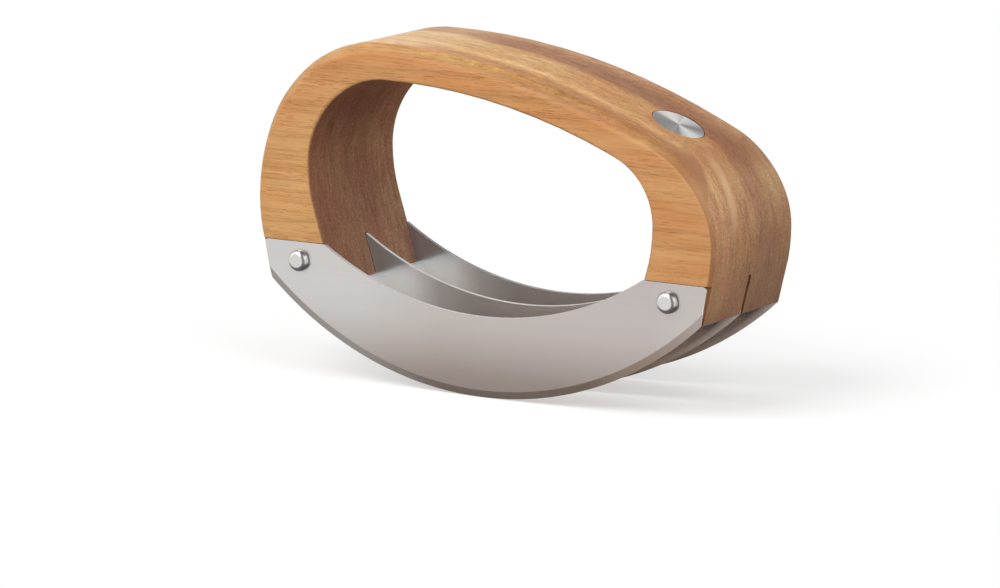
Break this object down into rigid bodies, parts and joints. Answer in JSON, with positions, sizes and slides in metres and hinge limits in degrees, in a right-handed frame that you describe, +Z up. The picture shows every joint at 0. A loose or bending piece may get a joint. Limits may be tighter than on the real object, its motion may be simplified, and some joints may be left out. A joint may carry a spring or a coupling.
{
  "type": "mezzaluna",
  "caption": "Mezzaluna with parallel curved blades riveted to the legs of a wooden arch, whose crown slopes from a high left shoulder to a low right one.",
  "frame": {"origin": "centre of the part on the surface that its cutting edges stand on, below the middle of the middle blade", "axes": "+X along the blades towards the low shoulder, +Y from the front blade to the rear blade, +Z up towards the crown"},
  "size_m": [0.1646, 0.0534, 0.1067],
  "materials": {
    "wood": "oiled hardwood with a satin sheen",
    "blade_steel": "satin brushed stainless steel",
    "rivet_steel": "polished shoulder and satin flat",
    "disc_steel": "spun satin stainless steel"
  },
  "bodies": {
    "root": {"handle": "wood", "front_blade": "blade_steel", "middle_blade": "blade_steel", "rear_blade": "blade_steel", "left_rivet_sleeve": "rivet_steel", "right_rivet_sleeve": "rivet_steel", "left_rivet_pin": "rivet_steel", "right_rivet_pin": "rivet_steel", "crown_disc": "disc_steel"}
  },
  "joints": []
}
